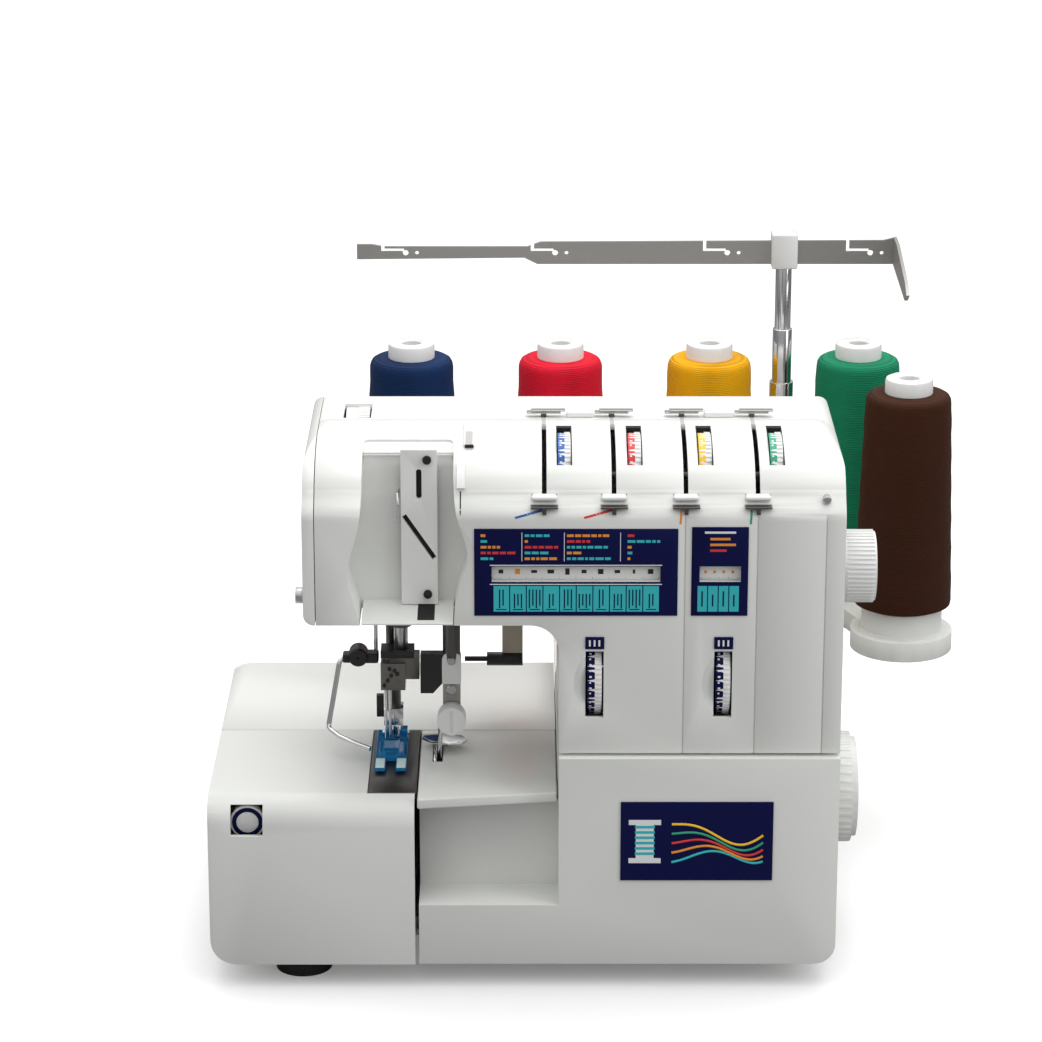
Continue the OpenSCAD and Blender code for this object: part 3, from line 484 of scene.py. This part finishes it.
def chart():
    """The stitch chart: rows of plain bars for entries, cells and simple signs, with no lettering."""
    pick = random.Random(7)
    rows = {"orange": [], "teal": [], "red": []}
    colours = ["orange", "teal", "orange", "red", "teal"]
    for col, (x0, x1) in enumerate([(-22, -1), (2, 22), (25, 50), (58, 82)]):
        for row in range(5):
            z = 268.0 - row * 3.3
            x = x0
            while x < x1 - 2.4:
                run = pick.uniform(1.6, 4.6)
                end = min(x + run, x1)
                rows[colours[(row + col) % 5]].append((x, z - 1.5, end, z))
                x = end + 0.7
                if pick.random() < 0.22:
                    break
    for name, mat in (("orange", ORANGE), ("teal", TEAL), ("red", RED)):
        tiles("chart-entries-" + name, rows[name], mat)
    lines = [(x, 252.5, x + 0.35, 269) for x in (0.3, 23.4, 54)]
    lines += [(-17, 239.0, 77, 239.5), (-17, 250.0, 77, 250.5)]
    tiles("chart-rules", lines, PAPER)
    cells = [(-15 + i * 9.1, 223.5, -15 + i * 9.1 + 8.5, 238.3) for i in range(10)]
    tiles("chart-cells", cells, TEAL)
    signs = []
    for i, (x0, z0, x1, z1) in enumerate(cells):
        mid = (x0 + x1) / 2
        for k in range(2 + i % 3):
            w = 0.35
            sx = mid + (k - (1 + i % 3) / 2) * 1.9
            signs.append((sx - w, z0 + 2.0 + (k % 2) * 1.5, sx + w, z1 - 2.0 - (i % 2) * 2.5))
        signs.append((x0 + 1.4, z0 + 1.0, x1 - 1.4, z0 + 1.5))
    tiles("chart-signs", signs, NAVY, lift=0.2)
    small = [(96.5 + i * 5.8, 223.5, 96.5 + i * 5.8 + 5.2, 238.3) for i in range(4)]
    tiles("small-chart-cells", small, TEAL)
    tiles("small-chart-signs", [(x0 + 2.1, z0 + 3, x0 + 2.9, z1 - 3 - 2 * (i % 2))
                                for i, (x0, z0, x1, z1) in enumerate(small)], NAVY, lift=0.2)
    heads = [(100, 268.4, 117, 269.6), (103, 264.6, 114, 266), (103, 261.3, 117, 262.7),
             (103, 258, 112, 259.4)]
    tiles("small-chart-title", heads[:1], PAPER)
    tiles("small-chart-entries", heads[1:3], ORANGE)
    tiles("small-chart-entry", heads[3:], RED)
    for n, x in enumerate(PILLAR_DIAL_X):
        bars = [(x + dx, 203.2, x + dx + 1, 206.8) for dx in (-3.2, -0.6, 2)]
        tiles("dial-caption-%d" % (n + 1), bars, PAPER)


def drum_faces():
    """White cell rows on the selector's two drums, with dividers and stitch signs."""
    centre = (28, 242)
    radius = 19.25
    body, slot = BODY_OF["selector_knob"], SLOT_OF["selector_knob"]
    pick = random.Random(3)

    def cell(x0, x1, a0, a1, lift):
        verts = []
        for x in (x0, x1):
            for a in (a0, a1):
                for r in (radius - 0.3, radius + lift):
                    verts.append(at(x, centre[0] - r * math.cos(a), centre[1] + r * math.sin(a)))
        return verts

    groups = {"dividers": ([], [], GROOVE), "signs": ([], [], BLACK), "dots": ([], [], ORANGE)}

    def add(group, corners):
        verts, faces, _ = groups[group]
        base = len(verts)
        verts += corners
        faces += box_faces(base)

    for step in range(12):
        mid = math.radians(step * 30 + 9)
        for i in range(11):
            x = -15.5 + i * 9.1
            add("dividers", cell(x - 0.2, x + 0.2, mid - 0.2, mid + 0.2, 0.05))
        for i in range(10):
            x = -15.5 + i * 9.1 + 4.5
            tall = pick.uniform(0.04, 0.10)
            wide = pick.uniform(0.6, 1.8)
            group = "dots" if pick.random() < 0.25 else "signs"
            add(group, cell(x - wide, x + wide, mid - tall, mid + tall, 0.07))
        for i in range(5):
            x = 98.5 + i * 5
            add("dividers", cell(x - 0.15, x + 0.15, mid - 0.2, mid + 0.2, 0.05))
        for i in range(4):
            add("dots", cell(100.2 + i * 5, 101.6 + i * 5, mid - 0.05, mid + 0.03, 0.07))
    for name, (verts, faces, mat) in groups.items():
        mesh_piece("selector_knob-" + name, verts, faces, mat, body)


def badge():
    """Generic badge on the looper cover: a navy plate with five running threads and a spool sign."""
    body, slot = BODY_OF["looper_cover"], "label"
    boxes_piece("badge-plate", [((55.5, 0.0, 65.5), (140.5, 1.2, 112.5))], NAVY, body, bevel=0.15)
    for k, mat in enumerate((TEAL, ORANGE, RED, GREEN, YELLOW)):
        path = []
        for i in range(25):
            t = i / 24
            x = 84 + t * 51
            z = 88 + (k - 2) * 4.2 * (1 - t) + 9 * math.sin(t * 5.2 + k * 0.32) * t + (k - 2) * 1.5
            path.append((x, -0.02, z))
        wire_piece("badge-thread-%d" % (k + 1), path, 0.7, mat, body)
    spool = [(60, 99, 78, 102), (60, 76, 78, 79), (64, 79, 74, 99)]
    boxes = [((x0, -0.15, z0), (x1, 0.2, z1)) for x0, z0, x1, z1 in spool]
    boxes_piece("badge-spool", boxes, PAPER, body, bevel=0.1)
    wound = [((63.5, -0.25, 81 + i * 3.2), (74.5, 0.1, 82.6 + i * 3.2)) for i in range(6)]
    boxes_piece("badge-spool-thread", wound, TEAL, body)


def thread_marks():
    """Coloured thread-path marks on the front panel."""
    marks = [((-3.3, 277), (12, 281), BLUE), ((34.3, 277), (49.6, 281), RED),
             ((86.7, 273.5), (87.2, 281), ORANGE), ((124.9, 273.5), (125.4, 281), GREEN)]
    for n, ((x0, z0), (x1, z1), mat) in enumerate(marks):
        face_line("thread-mark-%d" % (n + 1), (x0, z0), (x1, z1), 0.6, mat)


def face_line(name, start, end, half, mat):
    """A thin painted line on the front face from one (x, z) to another."""
    (x0, z0), (x1, z1) = start, end
    length = math.hypot(x1 - x0, z1 - z0)
    nx, nz = -(z1 - z0) / length * half, (x1 - x0) / length * half
    steps = 6
    verts = []
    for i in range(steps + 1):
        x, z = x0 + (x1 - x0) * i / steps, z0 + (z1 - z0) * i / steps
        for side in (-1, 1):
            for out in (-0.08, 0.15):
                px, pz = x + side * nx, z + side * nz
                verts.append(at(px, face_y(pz) + out, pz))
    mesh_piece(name, verts, strip_faces(steps), mat, "body")


# ---------- cones ----------

def cones():
    """The five wound cones: a thread winding on each white core."""
    centres = [(-68 + 92.5 * i, 310) for i in range(4)] + [(233, 230)]
    base = 149.5
    for i, (x, y) in enumerate(centres):
        node = "thread_cone_%d" % (i + 1)
        body, slot = BODY_OF[node], SLOT_OF[node]
        mat = thread_material(i + 1, THREADS[i + 1])
        # slightly uneven flanks, from layer on layer of thread
        pick = random.Random(20 + i)
        flank = []
        for k in range(27):
            t = k / 26
            swell = 0.16 * math.sin(t * 39 + i) + pick.uniform(-0.05, 0.05)
            flank.append((29.85 - 3.95 * t + swell - 0.1, 4 + 124.5 * t))
        profile = [(17.2, 1.2), (27.5, 1.0), (29.3, 1.7)] + flank
        profile += [(25.4, 130.6), (24.4, 132.4), (22.5, 133.5), (19.0, 134), (13.7, 134)]
        lathe_piece(node + "-thread", profile, (x, y, base), "Z", mat, body, (node,), segments=96,
                    smooth=60)
        core = [(8.2, 0.2), (16.8, 0.2), (13.6, 133), (14.4, 134.3), (14.4, 141.2), (13.8, 142.8),
                (12, 143.6), (7.4, 143.6), (6.2, 142.4), (6.2, 128), (8.2, 125)]
        lathe_piece(node + "-core", core, (x, y, base), "Z", WHITE, body, segments=64)


# ---------- needle area ----------

def guard():
    """The finger guard: a bent chrome wire held in a moulded black clamp."""
    path = [(-96, 82, 168), (-102.2, 80.6, 167.4), (-103.5, 80.2, 166.6), (-104.1, 79.8, 164.6),
            (-110.1, 74.3, 131), (-110.1, 73.6, 129), (-109, 72, 127.9), (-104, 66.6, 126),
            (-96, 61.4, 124.2), (-85.8, 56.1, 122.4)]
    wire_piece("finger_guard-wire", path, 1.5, CHROME, "body", ("finger_guard",), straight=True)
    hub = [(0.6, 76), (4.8, 76), (5.5, 77), (5.5, 87), (4.8, 88), (0.6, 88)]
    lathe_piece("finger_guard-hub", hub, (-93, 0, 170), "Y", BLACK, "body")
    clamp = [((-102, 77.5, 166.2), (-90, 86.5, 171.2)), ((-92, 78, 165.8), (-81.4, 87, 171.8))]
    boxes_piece("finger_guard-clamp", clamp, BLACK, "body", bevel=1.2)
    stem = [(-83, 84, 170.5), (-83, 84, 190), (-83, 84, 214.5)]
    wire_piece("finger_guard-stem", stem, 1.1, CHROME, "body")


def foot():
    """The clear blue presser foot with its pale toes."""
    body, slot = BODY_OF["presser_foot"], SLOT_OF["presser_foot"]
    obj = NODES["presser_foot"]
    obj.data.materials.clear()
    obj.data.materials.append(FOOT_BLUE)
    obj.modifiers.new("weld", "WELD").merge_threshold = JOIN
    soften(obj, 0.35)
    toes = [((-82.6, 42.6, 113.9), (-77.4, 56.5, 116.6)), ((-70.6, 42.6, 113.9), (-65.4, 56.5, 116.6))]
    boxes_piece("presser_foot-toes", toes, FOOT_TOE, body, bevel=0.4)


def knife_screws():
    """Screws on the knife arm and dark set screws on the needle clamp."""
    for n, (z, r, y) in enumerate(((172, 2.4, 65.9), (154.5, 3.1, 66.4))):
        head = [(0.0001, y - 1.2), (r - 0.6, y - 1.2), (r, y - 0.6), (r, y + 0.3), (0.0001, y + 0.3)]
        lathe_piece("knife_arm-screw-%d" % (n + 1), head, (-39.5, 0, z), "Y", STEEL, BODY_OF["knife_arm"],
                    segments=32)
    for n, (x, z) in enumerate(((-78, 155), (-76, 158), (-74, 161), (-72, 164), (-70.5, 162), (-75, 165))):
        head = [(0.0001, 70.9), (1.0, 70.9), (1.15, 71.1), (1.15, 72.1), (0.0001, 72.1)]
        lathe_piece("needle_clamp-screw-%d" % (n + 1), head, (x, 0, z), "Y", BLACK, BODY_OF["needle_clamp"],
                    segments=24)


def recess():
    """The recess round the take-up plate: a thin dark sheet of painted shade behind its slots where the
    hollow is, its wall, roof and floor, and a dark strip of painted shade lying on the floor where its gap
    is.
    """
    # A thin dark sheet of painted shade behind the take-up plate's slots.
    hollow = [((-65.5, 29.5, 242), (-46.5, 29.9, 300))]
    boxes_piece("takeup_cover-back-painted-shade", hollow, HOLLOW_SHADE, "body")
    boxes_piece("recess-wall", [((-86.4, 34.1, 299), (-37.6, 36.2, 305.4))], SHELL, "body")
    shoulder_strip("recess-roof", -86.5, -37.5, 50, 66.5, -1.2, SHELL, -3, 0)
    floor = [(5.1, 215.05), (5.1, 216.2), (33.9, 220.4), (33.9, 215.05)]
    verts = [at(x, y, z) for x in (-87.6, -37.2) for y, z in floor]
    n = len(floor)
    faces = [tuple(range(n)), tuple(range(2 * n - 1, n - 1, -1))]
    faces += [(i, i + n, (i + 1) % n + n, (i + 1) % n) for i in range(n)]
    mesh_piece("recess-floor", verts, faces, SHELL, "body", bevel=0.4)
    # A dark strip of painted shade lying on the floor where its gap is.
    gap = [(9, 216.77), (29, 219.69)]
    verts = [at(x, y, z + dz) for x in (-57, -47.6) for y, z in gap for dz in (-0.3, 0.12)]
    mesh_piece("recess-gap-painted-shade", verts, box_faces(), HOLLOW_SHADE, "body")


def shoulder_strip(name, x0, x1, start, end, lift, mat, depth=-0.4, bevel=0.4):
    """A strip along the head's elliptical front shoulder, between two angles in degrees."""
    (cy, cz), (ry, rz) = SHOULDER_CENTRE, SHOULDER_RADII
    verts = []
    steps = 10
    for i in range(steps + 1):
        a = math.radians(start + (end - start) * i / steps)
        for x in (x0, x1):
            for grow in (depth, lift):
                verts.append(at(x, cy - (ry + grow) * math.cos(a), cz + (rz + grow) * math.sin(a)))
    mesh_piece(name, verts, strip_faces(steps), mat, "body", bevel=bevel)


def window_edges():
    """Dark sides and ends of the four tension wheel windows: thin strips of painted shade lying on the
    shoulder.
    """
    for n, x in enumerate(TENSION_X):
        shoulder_strip("wheel-window-right-%d" % (n + 1), x + 3.6, x + 4.25, 39.2, 83.9, 0.03, HOLLOW_SHADE, -5, 0)
        shoulder_strip("wheel-window-left-%d" % (n + 1), x - 4.25, x - 3.8, 39.2, 83.9, 0.03, HOLLOW_SHADE, -5, 0)
        shoulder_strip("wheel-window-end-%d" % (n + 1), x - 4.2, x + 4.2, 80.5, 84, 0.02, HOLLOW_SHADE, -3, 0)


def guides():
    """Thread guides: white tabs and dark bars at the slots' lower ends, spring bars at their upper ends."""
    tabs = [((x - 7, 8, 285.4), (x + 7, 15, 288.2)) for x in SLOT_X]
    boxes_piece("thread_guides-tabs", tabs, WHITE, "body", bevel=1.3)
    bars = [((x - 7.4, 3.8, 282.4), (x + 7.4, 10, 283.4)) for x in SLOT_X]
    bars += [((x - 1.1, 3.8, 279), (x + 1.1, 9, 283)) for x in SLOT_X]
    boxes_piece("thread_guides-bars", bars, DARK_STEEL, "body", ("thread_guides",), bevel=0.3)
    springs = [((x - 9.5, 80, 314), (x + 9.5, 84.4, 315)) for x in SLOT_X]
    springs += [((x - 7, 79.4, 315.4), (x + 12, 83.8, 316.2)) for x in SLOT_X]
    boxes_piece("thread_guides-springs", springs, STEEL, "body", bevel=0.3)
    posts = [((x - 1.6, 80.4, 312), (x + 1.6, 84, 316)) for x in SLOT_X]
    boxes_piece("thread_guides-posts", posts, DARK_STEEL, "body", bevel=0.3)
    blocks = [((25.5, 79, 312), (40.5, 88, 315.2)), ((102.5, 79, 312), (119, 88, 315.2))]
    boxes_piece("thread_guides-blocks", blocks, WHITE, "body", bevel=0.8)
    hook = [(-67.6, 33.6, 284), (-67.9, 29, 283.4), (-67.8, 26.4, 280.5), (-67.5, 25.2, 272),
            (-67.4, 25, 265)]
    wire_piece("thread_guides-hook", hook, 0.75, CHROME, "body")
    # Thin grey strips of painted shade along the slots' grooves on the top.
    for n, x in enumerate(SLOT_X):
        groove = [((x - 1.1, 66, 311.9), (x + 1.1, 80, 312.08))]
        boxes_piece("slot-line-%d" % (n + 1), groove, GROOVE_SHADE, "body")


def shoulder_parts():
    """The thread tab at the left end of the shoulder, its slit, and the screw at the right end."""
    shoulder_strip("thread-tab", -35.2, -30.6, 17, 40, 1.6, WHITE)
    shoulder_strip("thread-tab-top", -31.6, -25.6, 57, 86, 1.8, WHITE)
    # The inset is a grey strip of painted shade; the line at the lower edge of the tab's top and the slit are
    # dark strips of painted shade.
    shoulder_strip("thread-tab-inset-shade", -30.6, -26.6, 58.5, 72, 1.95, GROOVE_SHADE, bevel=0)
    shoulder_strip("thread-tab-line-shade", -30.8, -26.2, 56.2, 57.6, 2.0, HOLLOW_SHADE, bevel=0)
    face_line("thread-tab-slit-shade", (-33, 278.5), (-33, 289.5), 0.35, HOLLOW_SHADE)
    head = [(0.0001, 8), (1.8, 8), (2.3, 8.5), (2.3, 13), (0.0001, 13)]
    lathe_piece("panel-screw", head, (166.5, 0, 286), "Y", STEEL, "body",
                segments=32)


# ---------- stage ----------

def studio_world():
    """Soft overhead light: bright above, dimmer towards the horizon."""
    world = bpy.data.worlds.new("studio")
    world.use_nodes = True
    nt = world.node_tree
    place = nt.nodes.new("ShaderNodeTexCoord")
    sep = nt.nodes.new("ShaderNodeSeparateXYZ")
    height = nt.nodes.new("ShaderNodeMapRange")
    height.inputs["From Min"].default_value = -0.05
    height.inputs["From Max"].default_value = 0.9
    height.inputs["To Min"].default_value = 0.12
    height.inputs["To Max"].default_value = 1.3
    nt.links.new(place.outputs["Generated"], sep.inputs[0])
    nt.links.new(sep.outputs["Z"], height.inputs["Value"])
    background = nt.nodes["Background"]
    background.inputs["Color"].default_value = (1, 1, 1, 1)
    nt.links.new(height.outputs["Result"], background.inputs["Strength"])
    return world


def floor_material():
    """White to the eye, darker to the light that bounces off it on to the machine."""
    m = material("floor", (0.93, 0.93, 0.93), 0.7, tint=0.01, bump=0.0, specular=0.1)
    nt = m.node_tree
    bsdf = nt.nodes["Principled BSDF"]
    path = nt.nodes.new("ShaderNodeLightPath")
    mix = nt.nodes.new("ShaderNodeMix")
    mix.data_type = "RGBA"
    mix.inputs["A"].default_value = (0.28, 0.28, 0.28, 1)
    nt.links.new(bsdf.inputs["Base Color"].links[0].from_socket, mix.inputs["B"])
    nt.links.new(path.outputs["Is Camera Ray"], mix.inputs["Factor"])
    nt.links.new(mix.outputs["Result"], bsdf.inputs["Base Color"])
    bsdf.inputs["Emission Color"].default_value = (1, 1, 1, 1)
    glow = nt.nodes.new("ShaderNodeMath")
    glow.operation = "MULTIPLY"
    glow.inputs[1].default_value = 0.16
    nt.links.new(path.outputs["Is Camera Ray"], glow.inputs[0])
    nt.links.new(glow.outputs[0], bsdf.inputs["Emission Strength"])
    return m


def stage():
    """Pale floor, soft studio lights and the camera."""
    bpy.ops.mesh.primitive_plane_add(size=12, location=(0, 0, 0))
    floor = bpy.context.object
    floor.name = "floor"
    floor.data.materials.append(floor_material())
    scene = bpy.context.scene
    scene.world = studio_world()
    middle = at(0, 0, 180)

    def softbox(name, offset, size, power):
        light = bpy.data.lights.new(name, "AREA")
        light.shape = "RECTANGLE"
        light.size, light.size_y = size
        light.energy = power
        obj = bpy.data.objects.new(name, light)
        scene.collection.objects.link(obj)
        obj.location = middle + Vector(offset)
        obj.rotation_euler = (-Vector(offset)).to_track_quat("-Z", "Y").to_euler()

    softbox("top", (0.2, 0.5, 1.5), (1.6, 1.2), 12)
    softbox("right", (1.5, -0.9, 0.7), (0.7, 1.0), 5)

    tilt = math.radians(18)
    distance = 2.0
    target = at(0, 0, 277)
    camera = bpy.data.cameras.new("camera")
    camera.lens = 127.5
    camera.sensor_width = 36
    camera.clip_end = 50
    eye = bpy.data.objects.new("camera", camera)
    scene.collection.objects.link(eye)
    eye.location = target + distance * Vector((0, -math.cos(tilt), math.sin(tilt)))
    eye.rotation_euler = (target - eye.location).to_track_quat("-Z", "Y").to_euler()
    scene.camera = eye
    scene.view_settings.view_transform = "Standard"


carry()
tones()
recess()
shoulder_parts()
window_edges()
guides()
dials()
chart()
drum_faces()
badge()
thread_marks()
cones()
guard()
foot()
knife_screws()
stage()
